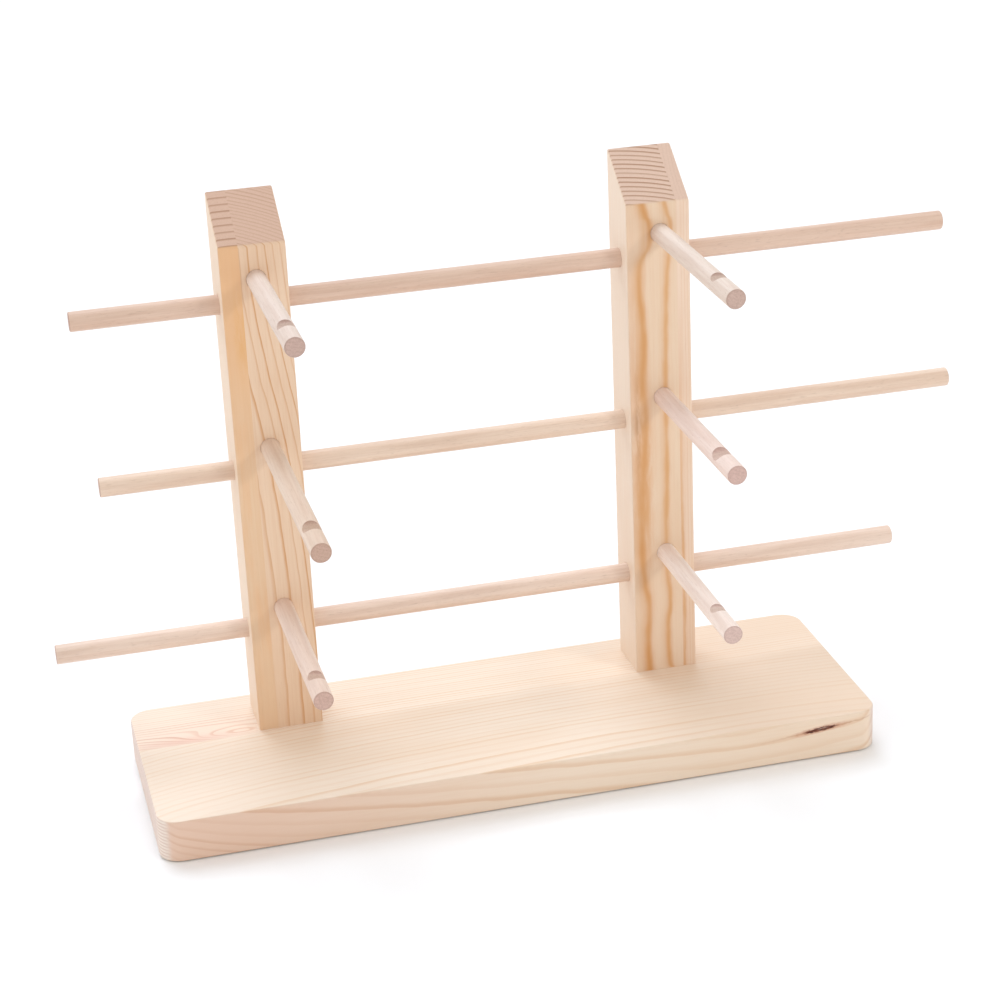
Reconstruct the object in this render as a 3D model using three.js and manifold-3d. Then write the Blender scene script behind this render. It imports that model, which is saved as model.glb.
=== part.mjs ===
// Free-standing wooden display rack: a rounded base board, two laminated posts with slanted tops,
// cross bars that slide through the posts and notched pegs that slide through them front to back.
// Millimetres, +Z up, +X to the right, +Y to the back. The origin is the middle of the base's underside.
import * as THREE from 'three';
import { mergeVertices } from 'three/addons/utils/BufferGeometryUtils.js';
import Module from 'manifold-3d';

const wasm = await Module();
wasm.setup();

// Base: two boards glued edge to edge
const BASE_LENGTH = 303;
const BASE_DEPTH = 102;
const BASE_THICK = 18;
const BASE_CORNER_R = 9;
const BASE_EASE = 0.8;
const GLUE_LINE_Y = 13.5;

// Posts: each is two strips glued side by side
const POST_WIDTH = 27;
const POST_DEPTH = 25;
const POST_Y = 28;
const LEFT_TOP = { front: 211.1, back: 227.9 };
const RIGHT_TOP = { front: 209.6, back: 227.8 };
const POST_EASE = 0.5;
const POST_TIP_EASE = 0.9;
const LEFT_POST_X = -86.6;
const RIGHT_POST_X = 79.4;
const LEFT_GLUE_X = LEFT_POST_X - 5.4;
const RIGHT_GLUE_X = RIGHT_POST_X + 7.8;

// Dowels and their holes
const DOWEL_R = 4;
const HOLE_R = 4.08;
const DOWEL_CHAMFER = 0.4;
const DOWEL_SIDES = 48;

// Cross bars: height above the base top, and where each one's middle has been slid to
const BAR_LENGTH = 367;
const BAR_OFFSET_Y = -1.2;
const BARS = [
  { name: 'bar_top', height: 184.9, centre_x: 24.1 },
  { name: 'bar_middle', height: 114, centre_x: 28.7 },
  { name: 'bar_bottom', height: 43.1, centre_x: 3.6 },
];

// Pegs: each crosses its post just above a bar. Reach is what stands out in front of the post.
// Setback is from the tip to the notch, and roll turns the notch towards +X.
const PEG_LENGTH = 125;
const PEG_ABOVE_BAR = 12;
const PEG_OFFSET_X = 0.9;
const PEGS = [
  { name: 'peg_left_top', post_x: LEFT_POST_X, bar: 0, reach: 87,
    setback: 17.6, depth: 2.2, cut_r: 4.2, roll: 0 },
  { name: 'peg_left_middle', post_x: LEFT_POST_X, bar: 1, reach: 112,
    setback: 18, depth: 2.4, cut_r: 4.8, roll: 0 },
  { name: 'peg_left_bottom', post_x: LEFT_POST_X, bar: 2, reach: 90,
    setback: 15.6, depth: 2.2, cut_r: 4, roll: 8 },
  { name: 'peg_right_top', post_x: RIGHT_POST_X, bar: 0, reach: 93.5,
    setback: 18.8, depth: 2.1, cut_r: 3.8, roll: 0 },
  { name: 'peg_right_middle', post_x: RIGHT_POST_X, bar: 1, reach: 93.5,
    setback: 16.8, depth: 2.8, cut_r: 4.6, roll: -8 },
  { name: 'peg_right_bottom', post_x: RIGHT_POST_X, bar: 2, reach: 87,
    setback: 18.6, depth: 2.1, cut_r: 3.8, roll: 8 },
];

// Countersunk screws that hold each post from under the base
const SCREW_R = 2;
const SCREW_HEAD_R = 3.8;
const SCREW_HEAD_H = 2.4;
const SCREW_LENGTH = 44;
const SCREW_TIP_H = 5;
const SCREW_RECESS = 0.6;
const SCREW_GAP = 0.3;
const SCREW_SPREAD_Y = 6.5;
const SCREW_SIDES = 24;
const RECESS_LENGTH = 4.2;
const RECESS_WIDTH = 0.9;
const RECESS_DEPTH = 1.5;
const SCREW_LEFT_X = LEFT_POST_X + 3.4;
const SCREW_RIGHT_X = RIGHT_POST_X - 2.6;

// Resin pocket in the front edge of the base
const POCKET = { x: 125.5, z: 13.3, half_length: 8, half_height: 0.8, depth: 0.8, tilt_deg: 5.4 };

const toManifold = (geometry) => {
  const bare = geometry.clone();
  bare.deleteAttribute('normal');
  bare.deleteAttribute('uv');
  const welded = mergeVertices(bare, 1e-4);
  const mesh = new wasm.Mesh({
    numProp: 3,
    vertProperties: new Float32Array(welded.attributes.position.array),
    triVerts: new Uint32Array(welded.index.array),
  });
  return new wasm.Manifold(mesh);
};

const toGeometry = (solid) => {
  const mesh = solid.getMesh();
  const geometry = new THREE.BufferGeometry();
  geometry.setAttribute('position', new THREE.BufferAttribute(new Float32Array(mesh.vertProperties), 3));
  geometry.setIndex(new THREE.BufferAttribute(new Uint32Array(mesh.triVerts), 1));
  geometry.computeVertexNormals();
  return geometry;
};

const subtractAll = (geometry, cutters) => {
  let solid = toManifold(geometry);
  for (const cutter of cutters) {
    solid = solid.subtract(toManifold(cutter));
  }
  return toGeometry(solid);
};

const keepInside = (geometry, box) => toGeometry(toManifold(geometry).intersect(toManifold(box)));

// A box given by its low and high corners
const boxBetween = (low, high) => {
  const box = new THREE.BoxGeometry(high[0] - low[0], high[1] - low[1], high[2] - low[2]);
  box.translate((low[0] + high[0]) / 2, (low[1] + high[1]) / 2, (low[2] + high[2]) / 2);
  return box;
};

const rodAlongX = (radius, length) => {
  const rod = new THREE.CylinderGeometry(radius, radius, length, DOWEL_SIDES);
  rod.rotateZ(-Math.PI / 2);
  return rod;
};

const rodAlongY = (radius, length) => new THREE.CylinderGeometry(radius, radius, length, DOWEL_SIDES);

// A dowel along Y with broken edges at both ends, centred on the origin
const dowel = (length) => {
  const half = length / 2;
  const profile = [
    new THREE.Vector2(0, -half),
    new THREE.Vector2(DOWEL_R - DOWEL_CHAMFER, -half),
    new THREE.Vector2(DOWEL_R, -half + DOWEL_CHAMFER),
    new THREE.Vector2(DOWEL_R, half - DOWEL_CHAMFER),
    new THREE.Vector2(DOWEL_R - DOWEL_CHAMFER, half),
    new THREE.Vector2(0, half),
  ];
  return new THREE.LatheGeometry(profile, DOWEL_SIDES);
};

// The whole base block, before it is split along the glue line
const baseBlock = () => {
  const x = BASE_LENGTH / 2;
  const y = BASE_DEPTH / 2;
  const r = BASE_CORNER_R;
  const outline = new THREE.Shape();
  outline.moveTo(-x + r, -y);
  outline.lineTo(x - r, -y);
  outline.absarc(x - r, -y + r, r, -Math.PI / 2, 0, false);
  outline.lineTo(x, y - r);
  outline.absarc(x - r, y - r, r, 0, Math.PI / 2, false);
  outline.lineTo(-x + r, y);
  outline.absarc(-x + r, y - r, r, Math.PI / 2, Math.PI, false);
  outline.lineTo(-x, -y + r);
  outline.absarc(-x + r, -y + r, r, Math.PI, Math.PI * 1.5, false);
  const block = new THREE.ExtrudeGeometry(outline, {
    depth: BASE_THICK - 2 * BASE_EASE,
    bevelEnabled: true,
    bevelThickness: BASE_EASE,
    bevelSize: BASE_EASE,
    bevelOffset: -BASE_EASE,
    bevelSegments: 3,
    curveSegments: 10,
  });
  block.translate(0, 0, BASE_EASE);
  return block;
};

// A whole post with eased edges and a slanted top, before it is split into its two strips
const postBlock = (centreX, top) => {
  const d = POST_DEPTH / 2;
  const e = POST_EASE;
  const tip = POST_TIP_EASE;
  const slope = Math.atan2(top.back - top.front, POST_DEPTH);
  const stepY = tip * Math.cos(slope);
  const stepZ = tip * Math.sin(slope);
  const side = new THREE.Shape();
  side.moveTo(-d, -4);
  side.lineTo(d, -4);
  side.lineTo(d, top.back - tip);
  side.lineTo(d - stepY, top.back - stepZ);
  side.lineTo(-d + stepY, top.front + stepZ);
  side.lineTo(-d, top.front - tip);
  const block = new THREE.ExtrudeGeometry(side, {
    depth: POST_WIDTH - 2 * e,
    bevelEnabled: true,
    bevelThickness: e,
    bevelSize: e,
    bevelOffset: -e,
    bevelSegments: 2,
  });
  const toRow = new THREE.Matrix4().makeBasis(
    new THREE.Vector3(0, 1, 0),
    new THREE.Vector3(0, 0, 1),
    new THREE.Vector3(1, 0, 0),
  );
  block.applyMatrix4(toRow);
  block.translate(centreX - POST_WIDTH / 2 + e, POST_Y, BASE_THICK);
  return block;
};

const BAR_Y = POST_Y + BAR_OFFSET_Y;
const barZ = (index) => BASE_THICK + BARS[index].height;
const pegZ = (index) => barZ(index) + PEG_ABOVE_BAR;

const dowelHoles = (postX) => {
  const holes = [];
  BARS.forEach((bar, index) => {
    const across = rodAlongX(HOLE_R, POST_WIDTH + 20);
    across.translate(postX, BAR_Y, barZ(index));
    const through = rodAlongY(HOLE_R, POST_DEPTH + 20);
    through.translate(postX + PEG_OFFSET_X, POST_Y, pegZ(index));
    holes.push(across, through);
  });
  return holes;
};

const SCREWS = [
  { name: 'screw_left_front', x: SCREW_LEFT_X, y: POST_Y - SCREW_SPREAD_Y },
  { name: 'screw_left_back', x: SCREW_LEFT_X, y: POST_Y + SCREW_SPREAD_Y },
  { name: 'screw_right_front', x: SCREW_RIGHT_X, y: POST_Y - SCREW_SPREAD_Y },
  { name: 'screw_right_back', x: SCREW_RIGHT_X, y: POST_Y + SCREW_SPREAD_Y },
];

// The screw's outline grown by a gap: with no gap it is the screw, with one it is its hole
const screwProfile = (gap, mouth) => {
  const top = SCREW_RECESS + SCREW_LENGTH + gap;
  const profile = [new THREE.Vector2(0, SCREW_RECESS - mouth)];
  profile.push(new THREE.Vector2(SCREW_HEAD_R + gap, SCREW_RECESS - mouth));
  profile.push(new THREE.Vector2(SCREW_HEAD_R + gap, SCREW_RECESS + 0.3));
  profile.push(new THREE.Vector2(SCREW_R + gap, SCREW_RECESS + SCREW_HEAD_H));
  profile.push(new THREE.Vector2(SCREW_R + gap, top - SCREW_TIP_H));
  profile.push(new THREE.Vector2(0, top));
  return profile;
};

const screwSolid = (gap, mouth) => {
  const solid = new THREE.LatheGeometry(screwProfile(gap, mouth), SCREW_SIDES);
  solid.rotateX(Math.PI / 2);
  return solid;
};

const screwHoles = () => SCREWS.map((screw) => {
  const hole = screwSolid(SCREW_GAP, SCREW_RECESS + 2);
  hole.translate(screw.x, screw.y, 0);
  return hole;
});

const FINISHES = {
  pine: { color: 0xe6c9a2, roughness: 0.62 },
  pale_pine: { color: 0xeed8b8, roughness: 0.62 },
  warm_pine: { color: 0xd9ae7c, roughness: 0.6 },
  beech: { color: 0xe3c5ae, roughness: 0.55 },
  steel: { color: 0xb9bcc0, roughness: 0.35, metalness: 1 },
};

const group = new THREE.Group();

const addPiece = (name, geometry, finish) => {
  const material = new THREE.MeshStandardMaterial({ metalness: 0, flatShading: true, ...FINISHES[finish] });
  material.name = finish;
  const mesh = new THREE.Mesh(geometry, material);
  mesh.name = name;
  group.add(mesh);
};

// Base boards
const farX = BASE_LENGTH;
const farY = BASE_DEPTH;
const frontHalf = boxBetween([-farX, -farY, -5], [farX, GLUE_LINE_Y, BASE_THICK + 5]);
const rearHalf = boxBetween([-farX, GLUE_LINE_Y, -5], [farX, farY, BASE_THICK + 5]);
const pocket = new THREE.SphereGeometry(1, 24, 12);
pocket.scale(POCKET.half_length, POCKET.depth, POCKET.half_height);
pocket.rotateY(-THREE.MathUtils.degToRad(POCKET.tilt_deg));
pocket.translate(POCKET.x, -BASE_DEPTH / 2, POCKET.z);
addPiece('base_front_board', subtractAll(keepInside(baseBlock(), frontHalf), [pocket]), 'pale_pine');
addPiece('base_rear_board', subtractAll(keepInside(baseBlock(), rearHalf), screwHoles()), 'pine');

// Posts, each split into its two strips at the glue line
const addPost = (postX, heights, glueX, leftName, leftFinish, rightName, rightFinish) => {
  const top = BASE_THICK + heights.back + 5;
  const leftSide = boxBetween([postX - 30, 0, BASE_THICK], [glueX, 60, top]);
  const rightSide = boxBetween([glueX, 0, BASE_THICK], [postX + 30, 60, top]);
  const cutters = [...dowelHoles(postX), ...screwHoles()];
  addPiece(leftName, subtractAll(keepInside(postBlock(postX, heights), leftSide), cutters), leftFinish);
  addPiece(rightName, subtractAll(keepInside(postBlock(postX, heights), rightSide), cutters), rightFinish);
};
addPost(LEFT_POST_X, LEFT_TOP, LEFT_GLUE_X, 'post_left_strip', 'warm_pine', 'post_left_block', 'pine');
addPost(RIGHT_POST_X, RIGHT_TOP, RIGHT_GLUE_X, 'post_right_block', 'pine', 'post_right_strip', 'pale_pine');

// Cross bars
BARS.forEach((bar, index) => {
  const rod = dowel(BAR_LENGTH);
  rod.rotateZ(-Math.PI / 2);
  rod.translate(bar.centre_x, BAR_Y, barZ(index));
  addPiece(bar.name, rod, 'beech');
});

// Notched pegs
for (const peg of PEGS) {
  const tipY = POST_Y - POST_DEPTH / 2 - peg.reach;
  const rod = dowel(PEG_LENGTH);
  rod.translate(0, tipY + PEG_LENGTH / 2, 0);
  const cutter = rodAlongX(peg.cut_r, 4 * DOWEL_R);
  cutter.translate(0, tipY + peg.setback, DOWEL_R - peg.depth + peg.cut_r);
  cutter.rotateY(THREE.MathUtils.degToRad(peg.roll));
  const notched = subtractAll(rod, [cutter]);
  notched.translate(peg.post_x + PEG_OFFSET_X, 0, pegZ(peg.bar));
  addPiece(peg.name, notched, 'beech');
}

// Screws with a cross recess in the head
for (const screw of SCREWS) {
  const low = SCREW_RECESS - 1;
  const high = SCREW_RECESS + RECESS_DEPTH;
  const half = RECESS_LENGTH / 2;
  const thin = RECESS_WIDTH / 2;
  const slotX = boxBetween([-half, -thin, low], [half, thin, high]);
  const slotY = boxBetween([-thin, -half, low], [thin, half, high]);
  const body = subtractAll(screwSolid(0, 0), [slotX, slotY]);
  body.translate(screw.x, screw.y, 0);
  addPiece(screw.name, body, 'steel');
}

export default group;
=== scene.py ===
import math

import bmesh
import bpy
from mathutils import Matrix, Vector

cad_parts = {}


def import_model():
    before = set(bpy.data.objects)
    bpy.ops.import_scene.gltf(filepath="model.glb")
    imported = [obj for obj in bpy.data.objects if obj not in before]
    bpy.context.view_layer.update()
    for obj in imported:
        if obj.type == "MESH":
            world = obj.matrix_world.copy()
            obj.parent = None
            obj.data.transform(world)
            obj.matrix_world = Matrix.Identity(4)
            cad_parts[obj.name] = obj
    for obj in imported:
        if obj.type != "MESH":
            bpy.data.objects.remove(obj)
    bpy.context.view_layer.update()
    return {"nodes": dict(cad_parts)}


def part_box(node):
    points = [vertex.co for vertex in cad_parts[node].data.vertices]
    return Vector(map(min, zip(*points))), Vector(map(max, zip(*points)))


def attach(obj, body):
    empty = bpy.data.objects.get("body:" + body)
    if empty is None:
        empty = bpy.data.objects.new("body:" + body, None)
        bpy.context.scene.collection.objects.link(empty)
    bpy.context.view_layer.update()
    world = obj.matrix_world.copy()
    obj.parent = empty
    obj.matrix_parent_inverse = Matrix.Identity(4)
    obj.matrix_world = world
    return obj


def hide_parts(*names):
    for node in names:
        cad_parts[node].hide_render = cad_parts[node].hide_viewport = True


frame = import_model()
MM = 0.001

EASE_STEPS = 4            # steps of every rounded edge
SHARP_ANGLE = math.radians(32)
NORMAL_WEIGHT = 80        # how strongly the large faces pull the shading normals
OVERRUN = 4 * MM          # how far a hole's cutter runs past the faces that it cuts


# ---------------------------------------------------------------- meshes

def link(mesh, name):
    piece = bpy.data.objects.new(name, mesh)
    bpy.context.scene.collection.objects.link(piece)
    return piece


def mesh_from(bm, name):
    bmesh.ops.recalc_face_normals(bm, faces=bm.faces)
    mesh = bpy.data.meshes.new(name)
    bm.to_mesh(mesh)
    bm.free()
    return mesh


def loft(name, rings):
    """A closed surface through rings of points, each ring with the same number of points."""
    bm = bmesh.new()
    rows = [[bm.verts.new(p) for p in ring] for ring in rings]
    count = len(rows[0])
    for low, high in zip(rows, rows[1:]):
        for i in range(count):
            j = (i + 1) % count
            bm.faces.new((low[i], low[j], high[j], high[i]))
    bm.faces.new(list(reversed(rows[0])))
    bm.faces.new(rows[-1])
    return link(mesh_from(bm, name), name)


def boolean(piece, cutter, operation="DIFFERENCE"):
    """Cuts piece with cutter for good and removes the cutter."""
    modifier = piece.modifiers.new("cut", "BOOLEAN")
    modifier.operation = operation
    modifier.solver = "EXACT"
    modifier.object = cutter
    graph = bpy.context.evaluated_depsgraph_get()
    mesh = bpy.data.meshes.new_from_object(piece.evaluated_get(graph))
    old = piece.data
    piece.modifiers.remove(modifier)
    piece.data = mesh
    mesh.name = old.name
    bpy.data.meshes.remove(old)
    bpy.data.objects.remove(cutter)


def finish_normals(piece):
    """Smooth shading that keeps the sharp edges crisp."""
    for polygon in piece.data.polygons:
        polygon.use_smooth = True
    piece.data.set_sharp_from_angle(angle=SHARP_ANGLE)
    weighted = piece.modifiers.new("weighted", "WEIGHTED_NORMAL")
    weighted.keep_sharp = True
    weighted.weight = NORMAL_WEIGHT


def circle(radius, count):
    step = 2 * math.pi / count
    return [(radius * math.cos(i * step), radius * math.sin(i * step)) for i in range(count)]


def turned(name, profile, axis, sides=72):
    """A solid of revolution: profile is (distance along the axis, radius), from one end to the other."""
    rings = []
    for along, radius in profile:
        ring = []
        for a, b in circle(radius, sides):
            ring.append({"X": (along, a, b), "Y": (b, along, a), "Z": (a, b, along)}[axis])
        rings.append(ring)
    return loft(name, rings)


def quarter_turn():
    """The (sine, cosine) of each step of a rounded edge, from 0 to 90 degrees."""
    angles = [math.pi / 2 * i / EASE_STEPS for i in range(EASE_STEPS + 1)]
    return [(math.sin(a), math.cos(a)) for a in angles]


def box_solid(name, low, high):
    """A plain block between two corners, for cutting."""
    bm = bmesh.new()
    bmesh.ops.create_cube(bm, size=1)
    size = [b - a for a, b in zip(low, high)]
    middle = [(a + b) / 2 for a, b in zip(low, high)]
    for v in bm.verts:
        v.co = Vector([c * s + m for c, s, m in zip(v.co, size, middle)])
    return link(mesh_from(bm, name), name)


# ---------------------------------------------------------------- node graphs

IOR = 1.42


class Graph:
    """Small helper that builds a material's nodes."""

    def __init__(self, name):
        self.material = bpy.data.materials.new(name)
        self.material.use_nodes = True
        self.tree = self.material.node_tree
        self.tree.nodes.clear()

    def node(self, kind, **settings):
        node = self.tree.nodes.new(kind)
        for key, value in settings.items():
            setattr(node, key, value)
        return node

    def put(self, socket, value):
        if isinstance(value, bpy.types.NodeSocket):
            self.tree.links.new(value, socket)
        elif value is not None:
            socket.default_value = value

    def math(self, operation, a, b=None, c=None, clamp=False):
        node = self.node("ShaderNodeMath", operation=operation, use_clamp=clamp)
        self.put(node.inputs[0], a)
        self.put(node.inputs[1], b)
        self.put(node.inputs[2], c)
        return node.outputs[0]

    def total(self, *values):
        result = values[0]
        for value in values[1:]:
            result = self.math("ADD", result, value)
        return result

    def times(self, a, b):
        return self.math("MULTIPLY", a, b)

    def smooth(self, value, low, high, to_low=0.0, to_high=1.0):
        node = self.node("ShaderNodeMapRange", interpolation_type="SMOOTHSTEP")
        for socket, v in zip(node.inputs, (value, low, high, to_low, to_high)):
            self.put(socket, v)
        return node.outputs[0]

    def vector(self, x, y, z):
        node = self.node("ShaderNodeCombineXYZ")
        for socket, v in zip(node.inputs, (x, y, z)):
            self.put(socket, v)
        return node.outputs[0]

    def split(self, value):
        node = self.node("ShaderNodeSeparateXYZ")
        self.put(node.inputs[0], value)
        return node.outputs[0], node.outputs[1], node.outputs[2]

    def noise(self, vector, detail=2.0, roughness=0.5):
        """The value and the colour of a noise at a place given in the noise's own unit."""
        node = self.node("ShaderNodeTexNoise", noise_dimensions="3D")
        self.put(node.inputs["Vector"], vector)
        self.put(node.inputs["Scale"], 1.0)
        self.put(node.inputs["Detail"], detail)
        self.put(node.inputs["Roughness"], roughness)
        return node.outputs[0], node.outputs[1]

    def mix(self, factor, a, b):
        node = self.node("ShaderNodeMix", data_type="RGBA")
        self.put(node.inputs[0], factor)
        self.put(node.inputs[6], a if isinstance(a, bpy.types.NodeSocket) else (*a, 1))
        self.put(node.inputs[7], b if isinstance(b, bpy.types.NodeSocket) else (*b, 1))
        return node.outputs[2]

    def curve(self, value, points):
        """A smooth curve through (value, result) points, from the first value to the last."""
        low, high = points[0][0], points[-1][0]
        results = [p[1] for p in points]
        bottom, top = min(results), max(results)
        span = (top - bottom) or 1.0
        unit = self.math("DIVIDE", self.math("SUBTRACT", value, low), high - low, clamp=True)
        node = self.node("ShaderNodeFloatCurve")
        line = node.mapping.curves[0]
        scaled = [((x - low) / (high - low), (y - bottom) / span) for x, y in points]
        line.points[0].location = scaled[0]
        line.points[1].location = scaled[-1]
        for x, y in scaled[1:-1]:
            line.points.new(x, y)
        node.mapping.update()
        self.put(node.inputs["Value"], unit)
        return self.math("MULTIPLY_ADD", node.outputs[0], span, bottom)

    def grain_frame(self, axis):
        """Sets the object coordinates in mm, and the grain frame: two across and one along the grain.
        Returns how far a face is end grain, from 0 to 1."""
        texture = self.node("ShaderNodeTexCoord")
        scaled = self.node("ShaderNodeVectorMath", operation="SCALE")
        self.put(scaled.inputs[0], texture.outputs["Object"])
        scaled.inputs["Scale"].default_value = 1 / MM
        self.x, self.y, self.z = self.split(scaled.outputs[0])
        self.nx, self.ny, self.nz = self.split(texture.outputs["Normal"])
        self.grain, facing = {"X": ((self.y, self.z, self.x), self.nx),
                              "Y": ((self.x, self.z, self.y), self.ny),
                              "Z": ((self.x, self.y, self.z), self.nz)}[axis]
        return self.smooth(self.math("ABSOLUTE", facing), 0.45, 0.8)

    def stretched(self, across, along, start_u=0.0, start_v=0.0):
        """A place in a noise: the grain frame scaled across and along the grain, from a start of its own."""
        u, v, w = self.grain
        return self.vector(self.math("MULTIPLY_ADD", u, across, start_u),
                           self.math("MULTIPLY_ADD", v, across, start_v), self.times(w, along))

    def length(self, a, b):
        """The length of (a, b)."""
        return self.math("SQRT", self.total(self.math("POWER", a, 2), self.math("POWER", b, 2)))

    def front(self):
        """How far a face looks to the front, from 0 to 1."""
        return self.smooth(self.ny, -0.85, -0.55, 1.0, 0.0)

    def shade(self, colour, roughness, height, bump=0.25, distance=0.25 * MM):
        """Ends the graph with an uncoated surface and returns the material."""
        bump_node = self.node("ShaderNodeBump")
        bump_node.inputs["Strength"].default_value = bump
        bump_node.inputs["Distance"].default_value = distance
        self.put(bump_node.inputs["Height"], height)
        shader = self.node("ShaderNodeBsdfPrincipled")
        self.put(shader.inputs["Base Color"], colour)
        self.put(shader.inputs["Roughness"], roughness)
        shader.inputs["IOR"].default_value = IOR
        self.put(shader.inputs["Normal"], bump_node.outputs[0])
        output = self.node("ShaderNodeOutputMaterial")
        self.tree.links.new(shader.outputs[0], output.inputs[0])
        return self.material


def gauss(g, terms):
    """exp(-sum((value - centre)^2 / width^2)) for (value, centre, width) terms."""
    parts = [g.math("POWER", g.math("DIVIDE", g.math("SUBTRACT", v, c), w), 2) for v, c, w in terms]
    return g.math("EXPONENT", g.times(g.total(*parts), -1))


def ring_radius(g, pith, warp, wobble, drift, lift, seed):
    """Distance from the pith line in mm, which the tree's uneven growth bends a little."""
    u, v, w = g.grain
    _, wander = g.noise(g.stretched(0.030, 0.0085, seed), 2.0, 0.45)
    wander_u, wander_v, _ = g.split(wander)
    u = g.total(u, -pith[0], g.math("MULTIPLY_ADD", wander_u, warp * 2, -warp))
    v = g.total(v, -pith[1], g.math("MULTIPLY_ADD", wander_v, warp * 2, -warp))
    if wobble:
        quick, _ = g.noise(g.stretched(0.06, 0.045, seed * 3))
        v = g.total(v, g.math("MULTIPLY_ADD", quick, wobble * 2, -wobble))
    if drift:
        u = g.math("SUBTRACT", u, g.curve(w, drift))
    if lift:
        v = g.math("SUBTRACT", v, g.curve(w, lift))
    return g.length(u, v)


def pine(name, axis, pith, rate, seed, early, late, *, warp=2.0, wobble=0.0, drift=(), lift=(),
         rise=None, paint=None, cover=None, width_noise=0.5, shift=0.0, strong=0.9, faint=0.25, pick=1.0,
         core=(0.52, 0.86, 0.94, 1.0), end_core=(0.50, 0.86), end_early=(0.62, 0.44, 0.345),
         end_late=(0.34, 0.20, 0.13), end_contrast=0.9):
    """Pine with growth rings about a pith line that runs along the grain.
    pith is its place across the grain in mm.
    rate gives the rings per mm of radius, and how that number grows with the radius.
    warp and wobble are slow and quick waves of the rings in mm. drift and lift bend them along the grain.
    rise adds to the radius, paint changes the side grain's colour, and cover the whole colour.
    width_noise makes ring widths uneven, and shift moves all rings outwards by a part of a ring.
    strong and faint are the darkest and palest late wood, and a high pick makes the dark ones rare.
    core and end_core say where in a ring the late wood starts and stops, on a side and on a cut end."""
    g = Graph(name)
    end = g.grain_frame(axis)
    radius = ring_radius(g, pith, warp, wobble, drift, lift, seed)
    if rise:
        radius = g.total(radius, rise(g))
    steady = g.times(radius, g.math("MULTIPLY_ADD", radius, rate[1], rate[0]))
    widths, _ = g.noise(g.vector(g.times(steady, 0.22), seed, 0.0), 1.0)
    phase = g.total(steady, g.times(widths, width_noise * 3), shift)
    ring = g.math("FLOOR", phase)
    t = g.math("FRACT", phase)
    white = g.node("ShaderNodeTexWhiteNoise", noise_dimensions="1D")
    g.put(white.inputs["W"], g.math("ADD", ring, seed * 7.3))
    strength = g.math("POWER", white.outputs[0], pick)
    # early wood darkens to late wood, which then stops short
    darkening = g.math("POWER", g.smooth(t, core[0], core[1]), 1.5)
    late_wood = g.times(darkening, g.smooth(t, core[2], core[3], 1.0, 0.0))
    g.late = g.times(late_wood, g.math("MULTIPLY_ADD", strength, strong - faint, faint))

    # the side grain: torn ring lines, soft patches, fine fibres and hair-fine dark ones
    fine, _ = g.noise(g.stretched(1.15, 0.022, 0.0, seed), 3.0, 0.6)
    hair, _ = g.noise(g.stretched(3.2, 0.10, 0.0, seed), 2.0, 0.6)
    patch, _ = g.noise(g.stretched(0.035, 0.011, seed * 2), 2.0, 0.5)
    broken = g.smooth(hair, 0.30, 0.70, 1.10, 0.80)
    side = g.mix(g.math("MULTIPLY", g.late, broken, clamp=True), early, late)
    side = g.mix(g.smooth(patch, 0.42, 0.72, 0.0, 0.22), side, late)
    side = g.mix(g.smooth(fine, 0.35, 0.75, 0.0, 0.16), side, late)
    side = g.mix(g.smooth(hair, 0.60, 0.78, 0.0, 0.16), side, tuple(0.66 * c for c in late))
    if paint:
        side = paint(g, side)

    # the end grain: the same rings, with pores
    pores, _ = g.noise(g.stretched(2.6, 2.6), 2.0, 0.7)
    end_wood = g.times(g.smooth(t, *end_core), g.smooth(t, 0.94, 1.0, 1.0, 0.0))
    end_level = g.times(g.math("MULTIPLY_ADD", strength, 0.45, 0.55), end_contrast)
    cut = g.mix(g.times(end_wood, end_level), end_early, end_late)
    cut = g.mix(g.smooth(pores, 0.40, 0.75, 0.0, 0.22), cut, end_late)

    colour = g.mix(end, side, cut)
    if cover:
        colour = cover(g, colour)
    rough = g.total(g.smooth(fine, 0.2, 0.8, 0.50, 0.62), g.times(end, 0.14))
    along_height = g.total(g.times(fine, 0.7), g.times(hair, 0.35), g.times(late_wood, 0.25))
    height = g.mix(end, g.vector(along_height, along_height, along_height), g.vector(pores, pores, pores))
    return g.shade(colour, rough, height)


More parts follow.
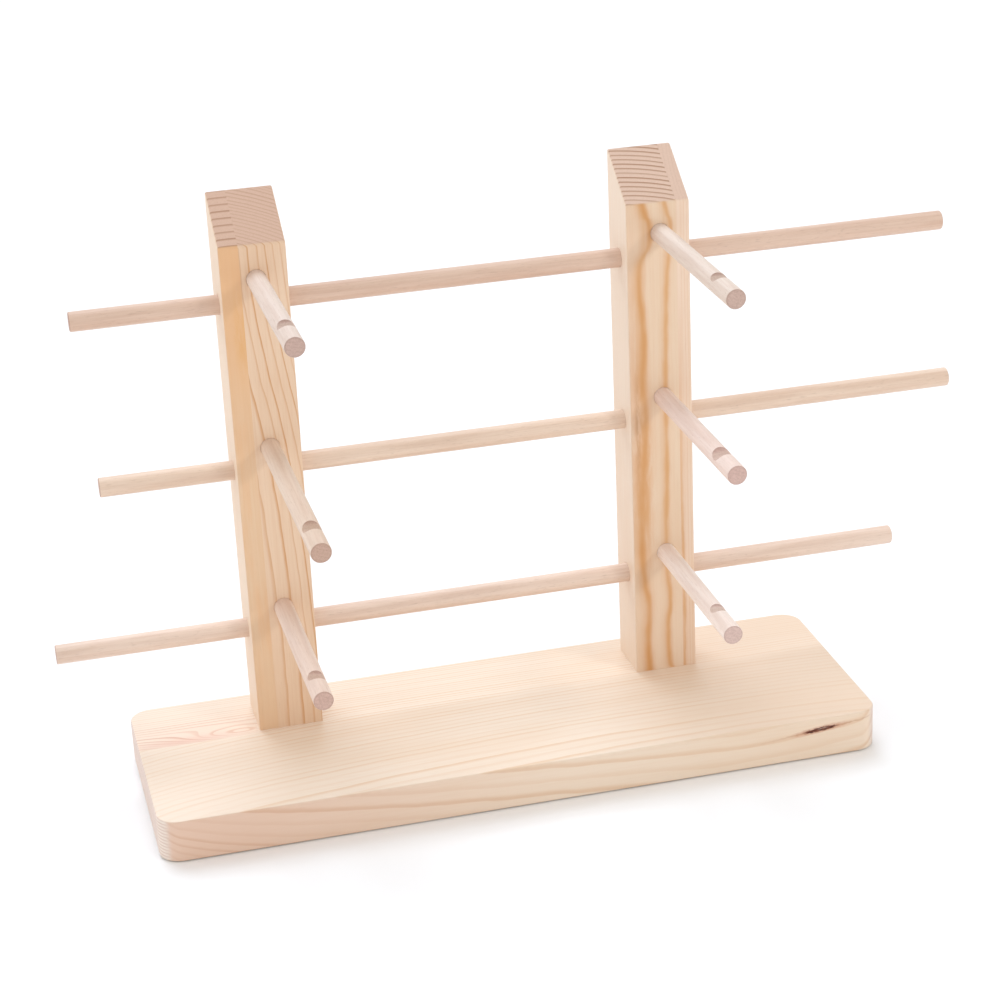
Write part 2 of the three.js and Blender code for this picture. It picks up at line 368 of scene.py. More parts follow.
def beech(name, axis, centre, radius, seed, tone, mark, end_tone, end_mark):
    """A beech dowel: fine fibres, long pinkish bands and short dark flecks, with darker ends and notches."""
    g = Graph(name)
    end = g.grain_frame(axis)
    u, v, w = g.grain
    u = g.math("SUBTRACT", u, centre[0])
    v = g.math("SUBTRACT", v, centre[1])
    g.grain = (u, v, w)
    band, _ = g.noise(g.stretched(0.26, 0.012, seed), 3.0, 0.55)
    fibre, _ = g.noise(g.stretched(1.6, 0.05, seed), 3.0, 0.6)
    fleck_place = g.vector(g.math("MULTIPLY_ADD", u, 4.5, seed), g.times(v, 2.2), g.times(w, 0.30))
    fleck, _ = g.noise(fleck_place, 2.0, 0.55)
    side = g.mix(g.smooth(band, 0.40, 0.66, 0.0, 0.50), tone, mark)
    side = g.mix(g.smooth(fibre, 0.38, 0.72, 0.0, 0.34), side, mark)
    side = g.mix(g.smooth(fleck, 0.58, 0.72, 0.0, 0.34), side, tuple(0.76 * c for c in mark))
    # a cut end shows pores, faint ring lines and a darker rim
    depth = g.length(u, v)
    ring = g.math("FRACT", g.times(g.total(g.times(u, 0.35), v, g.times(band, 2.4)), 0.62))
    line = g.times(g.smooth(ring, 0.45, 0.90), g.smooth(ring, 0.92, 1.0, 1.0, 0.0))
    pores, _ = g.noise(g.stretched(1.7, 1.7, 0.0, seed), 3.0, 0.7)
    cut = g.mix(g.times(line, 0.20), end_tone, end_mark)
    cut = g.mix(g.smooth(pores, 0.40, 0.70, 0.0, 0.55), cut, end_mark)
    rim = g.smooth(depth, radius - 0.9, radius - 0.2, 0.0, 0.40)
    cut = g.mix(g.times(rim, end), cut, end_mark)
    # a notch floor lies well inside the round skin, and shows rougher, browner wood
    inside = g.smooth(depth, radius - 0.16, radius - 0.05, 1.0, 0.0)
    notch = g.times(inside, g.math("SUBTRACT", 1.0, end))
    floor_wood = g.mix(g.smooth(pores, 0.35, 0.70, 0.0, 0.6), tuple(0.90 * c for c in mark), end_mark)
    colour = g.mix(g.times(notch, 0.85), g.mix(end, side, cut), floor_wood)
    rough = g.total(g.smooth(fibre, 0.2, 0.8, 0.46, 0.58), g.times(g.math("MAXIMUM", end, notch), 0.16))
    height = g.total(g.times(fibre, 0.6), g.times(fleck, 0.3), g.times(g.times(pores, end), 0.8))
    return g.shade(colour, rough, height, bump=0.2, distance=0.2 * MM)


# ---------------------------------------------------------------- sizes read from the frame

front_low, front_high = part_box("base_front_board")
rear_low, rear_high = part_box("base_rear_board")
CORNER_R = 9 * MM
BASE_CORNER_STEPS = 16
BASE_EASE = 0.8 * MM
POST_EASE = 0.6 * MM
POST_CORNER_STEPS = 3
TIP_EASE = 1.0 * MM
# Height of each post's front and back above the base
LEFT_TOP = (211.1 * MM, 227.9 * MM)
RIGHT_TOP = (209.6 * MM, 227.8 * MM)
HOLE_GAP = 0.06 * MM
HOLE_FLARE = 0.05 * MM
DOWEL_EASE = 0.45 * MM

# The open resin pocket: its middle, from the right end, the front and the bottom of the base, and its size
POCKET = Vector((front_high.x - 26.2 * MM, front_low.y, front_low.z + 13.1 * MM))
POCKET_TILT = math.radians(5.4)
POCKET_LENGTH = 15.6 * MM
POCKET_DEPTH = 0.78 * MM
POCKET_HEIGHT = 0.85 * MM

# The hole of a countersunk screw: the screw's shank, rim, head, point and tip, and the gap around it
SHANK_R = 2 * MM
RIM_HEIGHT = 0.3 * MM
HEAD_HEIGHT = 2.4 * MM
POINT_LENGTH = 5 * MM
TIP_R = 0.2 * MM
SCREW_GAP = 0.3 * MM


# ---------------------------------------------------------------- base

def board_outline(low, high, inset, rounded_front):
    """Plan outline of a base board moved in by inset, apart from its glued edge. Counter-clockwise."""
    radius = CORNER_R - inset
    x0, x1 = low.x + inset, high.x - inset
    if rounded_front:
        y = low.y + inset
        corners = ((x0 + radius, y + radius, 180), (x1 - radius, y + radius, 270))
        glued = [(x1, high.y), (x0, high.y)]
    else:
        y = high.y - inset
        corners = ((x1 - radius, y - radius, 0), (x0 + radius, y - radius, 90))
        glued = [(x0, low.y), (x1, low.y)]
    points = []
    for cx, cy, start in corners:
        for i in range(BASE_CORNER_STEPS + 1):
            a = math.radians(start + 90 * i / BASE_CORNER_STEPS)
            points.append((cx + radius * math.cos(a), cy + radius * math.sin(a)))
    return points + glued


def board(name, low, high, rounded_front):
    """A base board with eased edges above and below, and two rounded corners."""
    turn = quarter_turn()
    levels = [(BASE_EASE * (1 - sine), low.z + BASE_EASE * (1 - cosine)) for sine, cosine in turn]
    levels += [(BASE_EASE * (1 - cosine), high.z - BASE_EASE * (1 - sine)) for sine, cosine in turn]
    rings = [[(x, y, z) for x, y in board_outline(low, high, inset, rounded_front)] for inset, z in levels]
    return loft(name, rings)


def pocket_cutter():
    """A ragged spindle that cuts the open resin pocket."""
    sections, sides = 25, 14
    rings = []
    for i in range(1, sections):
        s = i / sections
        along = (s - 0.5) * POCKET_LENGTH
        ragged = 0.72 + 0.22 * math.sin(11 * s + 0.6) + 0.10 * math.sin(29 * s)
        swell = math.sin(math.pi * s) ** 0.8 * ragged
        ring = []
        for k in range(sides):
            a = 2 * math.pi * k / sides
            reach = swell * (1 + 0.16 * math.sin(3 * a + 9 * s))
            rise = POCKET_HEIGHT * reach * math.cos(a) + math.tan(POCKET_TILT) * along
            ring.append(POCKET + Vector((along, POCKET_DEPTH * reach * math.sin(a), rise)))
        rings.append(ring)
    return loft("pocket_cutter", rings)


def screw_cutter(node):
    """The hole that a screw needs: its own outline grown a little, open at the bottom."""
    low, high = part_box(node)
    head = (high.x - low.x) / 2 + SCREW_GAP
    shank = SHANK_R + SCREW_GAP
    profile = [(front_low.z - OVERRUN, head), (low.z + RIM_HEIGHT, head), (low.z + HEAD_HEIGHT, shank),
               (high.z - POINT_LENGTH, shank), (high.z + SCREW_GAP, TIP_R)]
    cutter = turned("cut_" + node, profile, "Z", sides=48)
    cutter.data.transform(Matrix.Translation(((low.x + high.x) / 2, (low.y + high.y) / 2, 0)))
    return cutter


SCREWS = [n for n in sorted(frame["nodes"]) if n.startswith("screw_")]

front_board = board("wood_base_front", front_low, front_high, True)
boolean(front_board, pocket_cutter())
rear_board = board("wood_base_rear", rear_low, rear_high, False)
for node in SCREWS:
    boolean(rear_board, screw_cutter(node))


# ---------------------------------------------------------------- posts

BARS = ("bar_top", "bar_middle", "bar_bottom")


def dowel(node):
    """A dowel's radius and the middle of its axis. A notch only ever cuts the top of a peg."""
    low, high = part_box(node)
    radius = (high.z - low.z if node in BARS else high.x - low.x) / 2
    middle = (low + high) / 2
    middle.z = low.z + radius
    return radius, middle


def flared_hole(axis, middle, radius, low, high):
    """A through hole whose two mouths are slightly broken."""
    wide = radius + HOLE_FLARE
    profile = [(low - OVERRUN, wide), (low, wide), (low + HOLE_FLARE, radius),
               (high - HOLE_FLARE, radius), (high, wide), (high + OVERRUN, wide)]
    hole = turned("hole", profile, axis)
    offset = {"X": (0, middle.y, middle.z), "Y": (middle.x, 0, middle.z)}[axis]
    hole.data.transform(Matrix.Translation(offset))
    return hole


def rounded_plan(x0, x1, y0, y1, inset):
    """Plan of a post with sanded corners, moved in by inset. Counter-clockwise."""
    r = POST_EASE
    corners = ((x0 + r, y0 + r, 180), (x1 - r, y0 + r, 270), (x1 - r, y1 - r, 0), (x0 + r, y1 - r, 90))
    points = []
    for cx, cy, start in corners:
        for i in range(POST_CORNER_STEPS + 1):
            a = math.radians(start + 90 * i / POST_CORNER_STEPS)
            points.append((cx + r * math.cos(a), cy + r * math.sin(a)))
    middle_x, middle_y = (x0 + x1) / 2, (y0 + y1) / 2
    shrink_x, shrink_y = 1 - 2 * inset / (x1 - x0), 1 - 2 * inset / (y1 - y0)
    return [(middle_x + (x - middle_x) * shrink_x, middle_y + (y - middle_y) * shrink_y) for x, y in points]


def post_solid(x0, x1, y0, y1, z0, heights):
    """A whole post with a slanted, eased top. It starts a little below the base's top, z0."""
    front_height, back_height = heights
    slope = (back_height - front_height) / (y1 - y0)
    rings = [[(x, y, z0 - OVERRUN) for x, y in rounded_plan(x0, x1, y0, y1, 0)]]
    for sine, cosine in quarter_turn():
        drop = TIP_EASE * (1 - sine)
        plan = rounded_plan(x0, x1, y0, y1, TIP_EASE * (1 - cosine))
        rings.append([(x, y, z0 + front_height + slope * (y - y0) - drop) for x, y in plan])
    return loft("post_solid", rings)


def strip_of(solid, node, x0, x1):
    """The part of a post between x0 and x1, above the base."""
    low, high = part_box(node)
    strip = solid.copy()
    strip.data = solid.data.copy()
    strip.name = "wood_" + node
    strip.data.name = strip.name
    bpy.context.scene.collection.objects.link(strip)
    keep = box_solid("keep", (x0, low.y - OVERRUN, low.z), (x1, high.y + OVERRUN, high.z + OVERRUN))
    boolean(strip, keep, "INTERSECT")
    return strip


def post(left_node, right_node, heights, pegs):
    """The two strips of a post, with the holes for its bars, pegs and screws."""
    low, middle_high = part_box(left_node)
    middle_low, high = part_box(right_node)
    x0, x1, y0, y1 = low.x, high.x, low.y, high.y
    solid = post_solid(x0, x1, y0, y1, low.z, heights)
    for node in BARS:
        radius, middle = dowel(node)
        boolean(solid, flared_hole("X", middle, radius + HOLE_GAP, x0, x1))
    for node in pegs:
        radius, middle = dowel(node)
        boolean(solid, flared_hole("Y", middle, radius + HOLE_GAP, y0, y1))
    for node in SCREWS:
        if x0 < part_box(node)[0].x < x1:
            boolean(solid, screw_cutter(node))
    strips = [strip_of(solid, left_node, x0 - OVERRUN, middle_high.x),
              strip_of(solid, right_node, middle_low.x, x1 + OVERRUN)]
    bpy.data.objects.remove(solid)
    return strips


left_strip, left_block = post("post_left_strip", "post_left_block", LEFT_TOP,
                              ("peg_left_top", "peg_left_middle", "peg_left_bottom"))
right_block, right_strip = post("post_right_block", "post_right_strip", RIGHT_TOP,
                                ("peg_right_top", "peg_right_middle", "peg_right_bottom"))


# ---------------------------------------------------------------- dowels

def eased_ends(low, high, radius):
    """The profile of a dowel with rounded rims."""
    turn = quarter_turn()
    rim = [(low + DOWEL_EASE * (1 - cosine), radius - DOWEL_EASE * (1 - sine)) for sine, cosine in turn]
    far_rim = [(high - (along - low), r) for along, r in reversed(rim)]
    return rim + far_rim


def bar(node):
    low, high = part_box(node)
    radius, middle = dowel(node)
    piece = turned("dowel_" + node, eased_ends(low.x, high.x, radius), "X")
    piece.data.transform(Matrix.Translation((0, middle.y, middle.z)))
    return piece


# Notch of each peg in mm and degrees: setback from the tip, depth, cutter radius, roll towards +X
NOTCHES = {
    "peg_left_top": (17.6, 2.2, 4.2, 0),
    "peg_left_middle": (18.0, 2.4, 4.8, 0),
    "peg_left_bottom": (15.6, 2.2, 4.0, 8),
    "peg_right_top": (18.8, 2.1, 3.8, 0),
    "peg_right_middle": (16.8, 2.8, 4.6, -8),
    "peg_right_bottom": (18.6, 2.1, 3.8, 8),
}


def peg(node):
    low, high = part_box(node)
    radius, middle = dowel(node)
    setback, depth, cutter_r, roll = NOTCHES[node]
    piece = turned("dowel_" + node, eased_ends(low.y, high.y, radius), "Y")
    reach = radius + OVERRUN
    cutter = turned("notch", [(-reach, cutter_r * MM), (reach, cutter_r * MM)], "X", sides=96)
    place = (0, low.y + setback * MM, radius + (cutter_r - depth) * MM)
    cutter.data.transform(Matrix.Translation(place))
    cutter.data.transform(Matrix.Rotation(math.radians(roll), 4, "Y"))
    boolean(piece, cutter)
    piece.data.transform(Matrix.Translation((middle.x, 0, middle.z)))
    return piece


# ---------------------------------------------------------------- materials

# Wood colours, and the colours of some painted light and shade, as linear light
BASE_EARLY = (0.875, 0.745, 0.615)
BASE_LATE = (0.77, 0.545, 0.355)
POST_EARLY = (0.81, 0.62, 0.455)
POST_LATE = (0.70, 0.39, 0.185)
STRIP_EARLY = (0.81, 0.59, 0.40)
BLOCK_EARLY = (0.815, 0.60, 0.43)
BLOCK_LATE = (0.61, 0.295, 0.115)
RIGHT_STRIP_EARLY = (0.84, 0.65, 0.51)
FRONT_TAN = (0.82, 0.61, 0.44)
FRONT_PINK_SHADE = (0.73, 0.46, 0.345)
FRONT_LINE = (0.62, 0.36, 0.23)
TOP_PALE = (0.86, 0.72, 0.595)
TOP_PAINTED_SHADE = (0.765, 0.585, 0.44)
CORNER_PALE = (0.87, 0.75, 0.65)
CORNER_MARK = (0.62, 0.42, 0.33)
ZONE_PINK = (0.80, 0.58, 0.47)
ZONE_BLUSH = (0.78, 0.46, 0.37)
ZONE_LINE = (0.64, 0.35, 0.255)
RESIN_RIM = (0.53, 0.21, 0.12)
RESIN_TAIL = (0.50, 0.25, 0.14)
RESIN_DARK = (0.075, 0.022, 0.014)
RESIN_RED = (0.27, 0.085, 0.05)
RESIN_HIGHLIGHT = (0.64, 0.42, 0.32)
SIDE_PAINTED_LIGHT = (0.91, 0.80, 0.70)
STREAK_ORANGE = (0.69, 0.375, 0.165)
STREAK_DEEP = (0.66, 0.335, 0.13)
STRIP_TAN = (0.785, 0.46, 0.24)
STRIP_CLOUD = (0.80, 0.47, 0.245)
STRIP_PATCH = (0.76, 0.42, 0.17)
BLOCK_TAN = (0.76, 0.50, 0.34)
BLOCK_STAIN = (0.70, 0.37, 0.165)
BLOCK_FOOT_PAINTED_LIGHT = (0.88, 0.70, 0.56)
BLOCK_BURL = (0.68, 0.36, 0.15)
BLOCK_SCAR = (0.50, 0.27, 0.155)

# Streaks down the front of the right post, as (height, x) in mm
MAIN_STREAK = [(18, 72.0), (34, 71.5), (47, 72.4), (58, 70.7), (82, 69.6), (95, 70.0), (108, 70.7),
               (122, 71.9), (137, 72.6), (150, 71.4), (167, 72.3), (182, 71.7), (195, 70.8), (206, 73.0),
               (216, 75.9), (222, 74.2), (230, 72.2)]
SECOND_STREAK = [(18, 82.3), (38, 80.6), (50, 81.9), (66, 80.6), (87, 80.6), (110, 81.3), (140, 81.3),
                 (165, 81.8), (182, 82.3), (195, 82.9), (206, 83.8), (216, 84.8), (222, 83.6), (230, 81.6)]
STRIP_STREAK = [(18, 87.9), (60, 88.2), (90, 87.8), (130, 87.9), (175, 88.6), (230, 89.6)]

# How the rings bend along the grain, as (place, shift) in mm
FRONT_LIFT = [(-152, 24), (-125, 15), (-95, 8.5), (-62, 4), (0, -2.5), (50, -6.5), (90, -8), (125, -6),
              (152, -1)]
BLOCK_DRIFT = [(18, 15.3), (50, 15.0), (80, 14.0), (105, 12.7), (125, 11.2), (144, 9.0), (160, 6.8),
               (175, 4.4), (190, 2.4), (205, 1.0), (220, 0.3), (245, 0)]

MARK_PITCH = 1.45   # height of one cutter mark in mm


# The paint functions below place their marks by g.x, g.y and g.z, in mm.

def front_tone(g, side):
    """The base's front is a little darker and pinker than the top; its left end gets pink painted shade."""
    facing = g.smooth(g.ny, -0.85, -0.45, 1.0, 0.0)
    left_end = g.smooth(g.x, -150.0, 40.0, 1.0, 0.0)
    side = g.mix(g.times(facing, 0.30), side, FRONT_TAN)
    # painted shade: the left end of the front is painted darker and pinker, where the front light falls off
    side = g.mix(g.times(g.times(facing, left_end), 0.62), side, FRONT_PINK_SHADE)
    lines = g.math("MULTIPLY_ADD", left_end, 0.34, 0.20)
    return g.mix(g.times(g.times(facing, g.late), lines), side, FRONT_LINE)


def top_tone(g, side):
    """The top of both boards has fainter lines at its left end, and painted shade browning it to the right.
    """
    upward = g.smooth(g.nz, 0.6, 0.9)
    side = g.mix(g.times(upward, g.smooth(g.x, -135.0, -50.0, 0.38, 0.0)), side, TOP_PALE)
    # painted shade: the top turns darker and browner towards the right, where the light falls off
    return g.mix(g.times(upward, g.smooth(g.x, 10.0, 130.0, 0.0, 0.50)), side, TOP_PAINTED_SHADE)


def pocket_paint(g, side):
    """Dark resin in the open pocket, with a painted highlight, a reddish rim and a thin tail each way."""
    dx = g.math("SUBTRACT", g.x, POCKET.x / MM)
    dz = g.math("SUBTRACT", g.math("SUBTRACT", g.z, POCKET.z / MM), g.times(dx, math.tan(POCKET_TILT)))
    ragged, _ = g.noise(g.vector(g.times(g.x, 0.55), g.times(g.y, 0.4), g.times(g.z, 1.6)), 3.0, 0.6)
    dz = g.math("ADD", dz, g.math("MULTIPLY_ADD", ragged, 1.5, -0.75))
    near = g.smooth(g.y, -50.0, -46.0, 1.0, 0.0)
    spindle = g.length(g.math("DIVIDE", dx, 8.4), dz)
    core = g.times(g.smooth(spindle, 0.62, 1.05, 1.0, 0.0), near)
    rim = g.times(g.smooth(spindle, 0.8, 1.9, 1.0, 0.0), near)
    tail = g.times(g.times(gauss(g, [(dx, 5.0, 22.0), (dz, 0.0, 0.28)]), near), 0.62)
    painted_glint = g.times(gauss(g, [(dx, 1.3, 1.9), (dz, 0.05, 0.30)]), near)
    side = g.mix(g.times(rim, 0.55), side, RESIN_RIM)
    side = g.mix(tail, side, RESIN_TAIL)
    clot, _ = g.noise(g.vector(g.times(g.x, 0.8), g.times(g.y, 0.5), g.times(g.z, 2.2)), 3.0, 0.6)
    side = g.mix(core, side, g.mix(g.smooth(clot, 0.42, 0.62), RESIN_DARK, RESIN_RED))
    # painted highlight: a pale sliver across the resin, where it catches the light
    return g.mix(g.times(painted_glint, 0.80), side, RESIN_HIGHLIGHT)


def front_board_paint(g, side):
    return pocket_paint(g, front_tone(g, top_tone(g, side)))


def cutter_marks(g, colour):
    """Fine level marks that the shaping cutter left on the rounded front left corner."""
    turned_left = g.smooth(g.nx, -0.92, -0.30, 1.0, 0.0)
    near_front = g.smooth(g.y, -46.0, -38.0, 1.0, 0.0)
    past_front = g.smooth(g.ny, -0.94, -0.70, 0.0, 1.0)
    before_end = g.smooth(g.ny, -0.12, -0.03, 1.0, 0.0)
    corner = g.times(g.times(turned_left, near_front), g.times(past_front, before_end))
    colour = g.mix(g.times(corner, 0.80), colour, CORNER_PALE)
    wave = g.math("SINE", g.times(g.z, 2 * math.pi / MARK_PITCH))
    mark = g.times(g.smooth(wave, -0.1, 0.8), corner)
    return g.mix(g.times(mark, 0.60), colour, CORNER_MARK)


def knot_rise(g):
    """Rings of the rear board swell round a hidden knot beside the left post."""
    return g.times(gauss(g, [(g.x, -108.0, 26.0), (g.y, 16.5, 7.0)]), 10.0)


def rear_board_paint(g, side):
    """The rear board is pink with strong lines round the knot."""
    side = top_tone(g, side)
    blush = gauss(g, [(g.x, -132.0, 22.0), (g.y, 16.2, 3.6)])
    zone = gauss(g, [(g.x, -130.0, 36.0), (g.y, 24.0, 12.0)])
    side = g.mix(g.times(zone, 0.28), side, ZONE_PINK)
    side = g.mix(g.times(blush, 0.50), side, ZONE_BLUSH)
    return g.mix(g.times(g.times(zone, g.late), 0.85), side, ZONE_LINE)


def streak(g, side, points, core, halo, strength, seed, colour=STREAK_ORANGE):
    """A wavy late-wood streak down the front of a post, along its points. core and halo are its half
    widths in mm, and strength is a number or a socket."""
    ragged, _ = g.noise(g.vector(g.times(g.x, 0.5), seed, g.times(g.z, 0.13)), 3.0, 0.6)
    swell, _ = g.noise(g.vector(seed, 0.0, g.times(g.z, 0.035)), 2.0, 0.6)
    middle = g.curve(g.z, points)
    away = g.total(g.x, g.times(middle, -1.0), g.math("MULTIPLY_ADD", ragged, 1.1, -0.55))
    narrow = g.math("MULTIPLY_ADD", swell, core * 1.6, core * 0.3)
    ridge = g.times(gauss(g, [(away, 0.0, narrow)]), g.front())
    soft = g.times(gauss(g, [(away, -0.35 * halo, halo)]), g.front())
    side = g.mix(g.times(g.times(soft, strength), 0.42), side, colour)
    firm = g.times(g.smooth(swell, 0.25, 0.6, 0.55, 1.0), strength)
    return g.mix(g.times(ridge, firm), side, colour)


def left_strip_paint(g, side):
    """The strip's front turns from deep tan above to yellowish below, with orange clouds and a patch."""
    side = g.mix(g.times(g.front(), g.smooth(g.z, 110.0, 215.0, 0.0, 0.80)), side, STRIP_TAN)
    cloud, _ = g.noise(g.vector(g.times(g.x, 0.16), 7.0, g.times(g.z, 0.022)), 3.0, 0.55)
    side = g.mix(g.times(g.front(), g.smooth(cloud, 0.48, 0.70, 0.0, 0.42)), side, STRIP_CLOUD)
    torn, _ = g.noise(g.vector(g.times(g.x, 0.55), 2.0, g.times(g.z, 0.09)), 3.0, 0.60)
    patch = g.times(gauss(g, [(g.x, -93.5, 2.6), (g.z, 192.0, 15.0)]), g.front())
    return g.mix(g.times(patch, g.smooth(torn, 0.35, 0.60, 0.25, 0.85)), side, STRIP_PATCH)


def right_block_paint(g, side):
    """The block's front has a tan field, a mottled stain, painted light at its foot, a burl, a scar, two
    streaks.
    """
    front = g.front()
    mottle, _ = g.noise(g.vector(g.times(g.x, 0.45), 4.0, g.times(g.z, 0.075)), 4.0, 0.65)
    tan = g.times(gauss(g, [(g.x, 67.0, 4.5), (g.z, 150.0, 75.0)]), front)
    side = g.mix(g.times(tan, g.smooth(mottle, 0.25, 0.70, 0.30, 0.75)), side, BLOCK_TAN)
    stain = g.times(gauss(g, [(g.x, 71.0, 3.9), (g.z, 112.0, 46.0)]), front)
    side = g.mix(g.times(stain, g.smooth(mottle, 0.36, 0.60, 0.20, 0.85)), side, BLOCK_STAIN)
    # painted light: the foot of the front is painted paler, as if lit by light bounced up from the base
    side = g.mix(g.times(front, g.smooth(g.z, 18.0, 90.0, 0.30, 0.0)), side, BLOCK_FOOT_PAINTED_LIGHT)
    burl = g.times(gauss(g, [(g.x, 71.2, 2.2), (g.z, 93.0, 6.0)]), front)
    side = g.mix(g.times(burl, 0.60), side, BLOCK_BURL)
    scar = g.times(gauss(g, [(g.x, 69.0, 1.0), (g.z, 130.0, 22.0)]), front)
    side = g.mix(g.times(scar, g.smooth(mottle, 0.38, 0.58, 0.15, 0.70)), side, BLOCK_SCAR)
    side = streak(g, side, MAIN_STREAK, 1.3, 2.8, 1.0, 1.7, STREAK_DEEP)
    return streak(g, side, SECOND_STREAK, 0.95, 2.0, 0.95, 6.1)


def right_strip_paint(g, side):
    """One thin streak, which fades towards the top."""
    return streak(g, side, STRIP_STREAK, 0.6, 1.2, g.smooth(g.z, 60.0, 190.0, 0.75, 0.05), 9.3)


def lit_sides(g, colour):
    """Painted light: a post's left and right faces are painted paler than its front, as if lit from the
    side.
    """
    sideways = g.smooth(g.math("ABSOLUTE", g.nx), 0.5, 0.9)
    return g.mix(g.times(sideways, 0.36), colour, SIDE_PAINTED_LIGHT)


BASE_END = {"end_early": (0.77, 0.63, 0.55), "end_late": (0.60, 0.42, 0.34), "end_contrast": 0.7}
LEFT_END = {"end_early": (0.66, 0.445, 0.335), "end_late": (0.39, 0.21, 0.125)}
RIGHT_END = {"end_early": (0.72, 0.52, 0.41), "end_late": (0.40, 0.225, 0.14)}
pine_base_front = pine("pine_base_front", "X", (-105.0, 65.0), (-0.0365, 0.00176), 3.1,
                       BASE_EARLY, BASE_LATE, warp=2.2, wobble=1.0, lift=FRONT_LIFT,
                       paint=front_board_paint, cover=cutter_marks, width_noise=0.25, strong=0.88,
                       faint=0.20, pick=1.1, core=(0.42, 0.84, 0.90, 1.0), **BASE_END)
pine_base_rear = pine("pine_base_rear", "X", (-40.0, -38.0), (0.66, 0.0), 8.4, BASE_EARLY, BASE_LATE,
                      warp=1.5, wobble=0.5, rise=knot_rise, paint=rear_board_paint,
                      strong=0.95, faint=0.30, pick=1.2, **BASE_END)
pine_left_strip = pine("pine_left_strip", "Z", (-96.0, -68.0), (1 / 3.0, 0.0), 5.7, STRIP_EARLY, POST_LATE,
                       warp=0.3, paint=left_strip_paint, cover=lit_sides, width_noise=0.05, shift=0.80,
                       strong=0.45, faint=0.30, end_core=(0.62, 0.88), **LEFT_END)
pine_left_block = pine("pine_left_block", "Z", (-120.5, -59.0), (1 / 1.5, 0.0), 1.9, BLOCK_EARLY, BLOCK_LATE,
                       warp=0.45, wobble=0.30, drift=BLOCK_DRIFT, strong=0.90, faint=0.42,
                       core=(0.66, 0.94, 0.96, 1.0), end_contrast=0.42, **LEFT_END)
pine_right_block = pine("pine_right_block", "Z", (61.0, -62.9), (1 / 1.9, 0.0), 12.6, POST_EARLY, POST_LATE,
                        warp=0.12, wobble=0.22, paint=right_block_paint, cover=lit_sides, width_noise=0.0,
                        shift=0.164, strong=0.35, faint=0.10, core=(0.62, 0.88, 0.90, 1.0), end_contrast=1.0,
                        **RIGHT_END)
pine_right_strip = pine("pine_right_strip", "Z", (190.0, 20.0), (0.7, 0.0), 4.2,
                        RIGHT_STRIP_EARLY, POST_LATE, warp=0.6, paint=right_strip_paint,
                        strong=0.30, faint=0.10, end_contrast=0.12, **RIGHT_END)

for piece, wood, node, slot in ((front_board, pine_base_front, "base_front_board", "base_pine"),
                                (rear_board, pine_base_rear, "base_rear_board", "base_pine"),
                                (left_strip, pine_left_strip, "post_left_strip", "post_pine"),
                                (left_block, pine_left_block, "post_left_block", "post_pine"),
                                (right_block, pine_right_block, "post_right_block", "post_pine"),
                                (right_strip, pine_right_strip, "post_right_strip", "post_pine")):
    piece.data.materials.append(wood)
    finish_normals(piece)
    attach(piece, "stand")
    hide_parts(node)

# Each dowel is its own piece of wood: (seed, tint); the tint also holds painted light and shade.
DOWELS = {
    "bar_top": (2.3, (0.895, 0.80, 0.745)),
    "bar_middle": (5.1, (1.00, 0.96, 0.905)),
    "bar_bottom": (7.7, (1.02, 0.99, 0.975)),
    "peg_left_top": (11.2, (0.94, 0.955, 0.985)),
    "peg_left_middle": (13.9, (0.945, 0.91, 0.86)),
    "peg_left_bottom": (17.4, (1.03, 1.005, 1.01)),
    "peg_right_top": (19.8, (0.94, 0.965, 0.985)),
    "peg_right_middle": (23.5, (1.06, 1.06, 1.12)),
    "peg_right_bottom": (29.1, (1.14, 1.21, 1.30)),
}
DOWEL_TONE = (0.82, 0.67, 0.565)
DOWEL_MARK = (0.66, 0.475, 0.37)
DOWEL_END = (0.62, 0.43, 0.355)
DOWEL_END_MARK = (0.42, 0.265, 0.21)

for node, (seed, tint_and_light) in DOWELS.items():
    radius, middle = dowel(node)
    if node in BARS:
        piece, axis, across = bar(node), "X", middle.y
    else:
        piece, axis, across = peg(node), "Y", middle.x
    # the tint carries the wood's own tone and painted light and shade for how each dowel is lit
    colours = [tuple(c * k for c, k in zip(colour, tint_and_light))
               for colour in (DOWEL_TONE, DOWEL_MARK, DOWEL_END, DOWEL_END_MARK)]
    wood = beech("beech_" + node, axis, (across / MM, middle.z / MM), radius / MM, seed, *colours)
    piece.data.materials.append(wood)
    finish_normals(piece)
    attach(piece, node)
    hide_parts(node)


def zinc():
    """Mottled zinc plating with fine scratches."""
    g = Graph("zinc_screw")
    g.grain_frame("Z")
    mottled, _ = g.noise(g.stretched(0.9, 0.9), 3.0, 0.6)
    scratch, _ = g.noise(g.vector(g.times(g.x, 5.0), g.times(g.y, 0.8), g.times(g.z, 5.0)), 2.0, 0.6)
    colour = g.mix(g.smooth(mottled, 0.3, 0.7), (0.62, 0.63, 0.65), (0.46, 0.47, 0.48))
    rough = g.smooth(scratch, 0.2, 0.8, 0.28, 0.45)
    material = g.shade(colour, rough, scratch, bump=0.15, distance=0.1 * MM)
    material.node_tree.nodes["Principled BSDF"].inputs["Metallic"].default_value = 1.0
    return material


steel = zinc()
for node in SCREWS:
    screw = frame["nodes"][node]
    screw.data.materials.clear()
    screw.data.materials.append(steel)


# ---------------------------------------------------------------- floor, light and camera

FLOOR_HALF = 20.0        # half the floor's side, in metres
FLOOR_GAP = 0.5 * MM     # keeps the floor clear of the base's underside


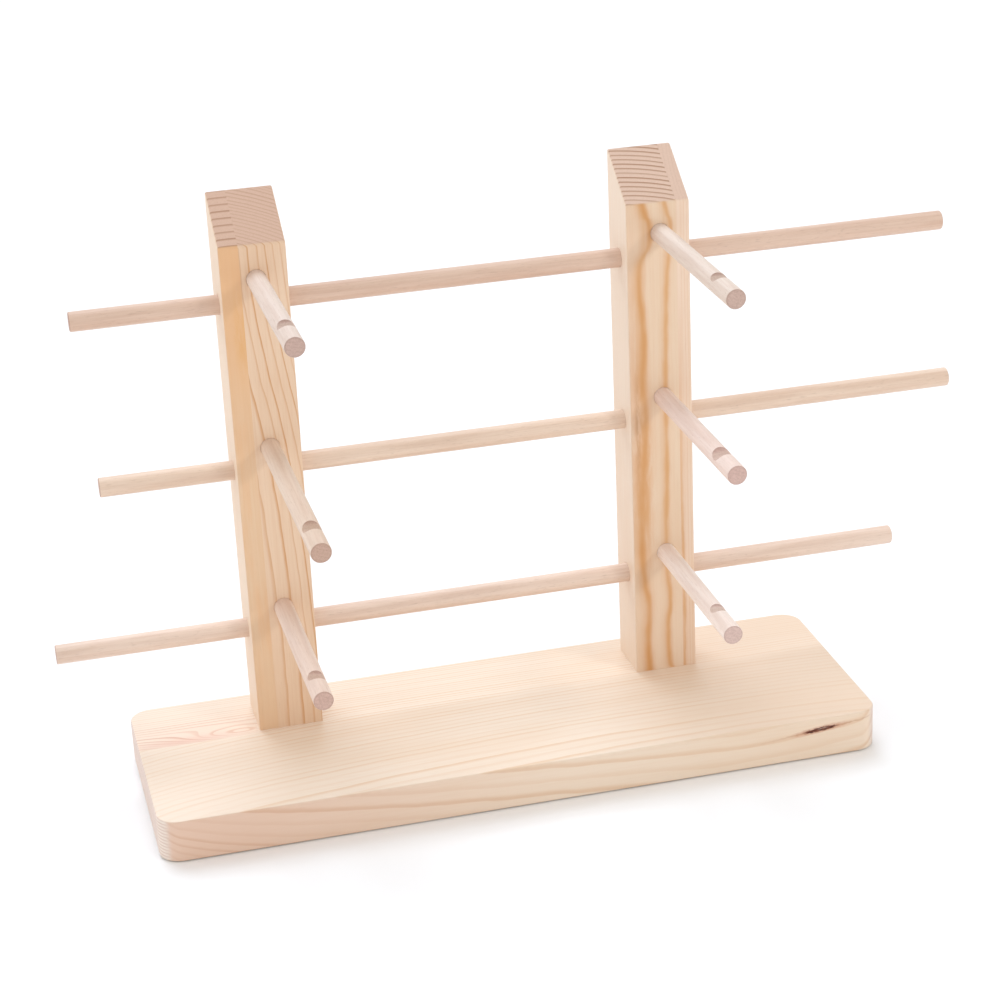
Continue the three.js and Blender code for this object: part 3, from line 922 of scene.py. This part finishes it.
def floor():
    """A wide plain white floor."""
    g = Graph("floor_white")
    g.grain_frame("Z")
    speck, _ = g.noise(g.vector(g.times(g.x, 0.02), g.times(g.y, 0.02), 0.0), 2.0, 0.5)
    colour = g.mix(speck, (0.93, 0.93, 0.93), (0.95, 0.95, 0.95))
    material = g.shade(colour, 0.9, speck, bump=0.02, distance=0.1 * MM)
    bm = bmesh.new()
    corners = ((-1, -1), (1, -1), (1, 1), (-1, 1))
    bm.faces.new([bm.verts.new((x * FLOOR_HALF, y * FLOOR_HALF, -FLOOR_GAP)) for x, y in corners])
    piece = link(mesh_from(bm, "floor"), "floor")
    piece.data.materials.append(material)


def add_lamp(name, data, colour, direction, place):
    """Places a light so that it shines along direction."""
    data.color = colour
    lamp = bpy.data.objects.new(name, data)
    lamp.rotation_euler = direction.to_track_quat("-Z", "Y").to_euler()
    lamp.location = place
    bpy.context.scene.collection.objects.link(lamp)


def soft_sun(name, toward, strength, spread, colour):
    """A wide, soft light from toward. strength is what it adds to a white face turned to it."""
    data = bpy.data.lights.new(name, "SUN")
    data.energy = strength * math.pi
    data.angle = math.radians(spread)
    add_lamp(name, data, colour, -Vector(toward), Vector(toward).normalized())


def near_light(name, place, target, size, power, colour):
    """A square lamp close to the object."""
    data = bpy.data.lights.new(name, "AREA")
    data.shape = "SQUARE"
    data.size = size
    data.energy = power
    add_lamp(name, data, colour, Vector(target) - Vector(place), place)


def world(colour):
    """Even light from all round."""
    studio = bpy.data.worlds.new("studio")
    studio.use_nodes = True
    background = studio.node_tree.nodes["Background"]
    background.inputs["Color"].default_value = (*colour, 1)
    background.inputs["Strength"].default_value = 1.0
    bpy.context.scene.world = studio


floor()
world((0.69, 0.68, 0.665))
# from above and behind, from low on the left, and from close by on the right in front
soft_sun("overhead", (-0.08, 0.66, 1.0), 0.48, 38, (0.90, 1.0, 1.14))
soft_sun("left_window", (-1.0, 0.05, 0.38), 0.20, 60, (0.93, 1.0, 1.10))
near_light("right_front", (1.05, -1.20, 0.98), (0.0, 0.0, 0.10), 0.32, 5.6, (1.0, 0.98, 0.95))

# The camera's place and turn, from the photo's viewing angle
CAMERA_PLACE = Vector((-214.76, -928.40, 508.99)) * MM
YAW, PITCH, ROLL = math.radians(13.297), math.radians(22.483), math.radians(-2.660)
FOCAL = 2.5185   # in widths of the picture
SENSOR = 36      # the same width in mm
CLIP_END = 50

forward = Vector((math.sin(YAW) * math.cos(PITCH), math.cos(YAW) * math.cos(PITCH), -math.sin(PITCH)))
level_right = forward.cross(Vector((0, 0, 1))).normalized()
level_up = level_right.cross(forward)
right = level_right * math.cos(ROLL) + level_up * math.sin(ROLL)
up = level_up * math.cos(ROLL) - level_right * math.sin(ROLL)
camera_data = bpy.data.cameras.new("camera")
camera_data.sensor_width = SENSOR
camera_data.lens = FOCAL * SENSOR
camera_data.clip_end = CLIP_END
camera = bpy.data.objects.new("camera", camera_data)
camera.matrix_world = Matrix.Translation(CAMERA_PLACE) @ Matrix((right, up, -forward)).transposed().to_4x4()
bpy.context.scene.collection.objects.link(camera)
bpy.context.scene.camera = camera
bpy.context.scene.view_settings.view_transform = "Standard"
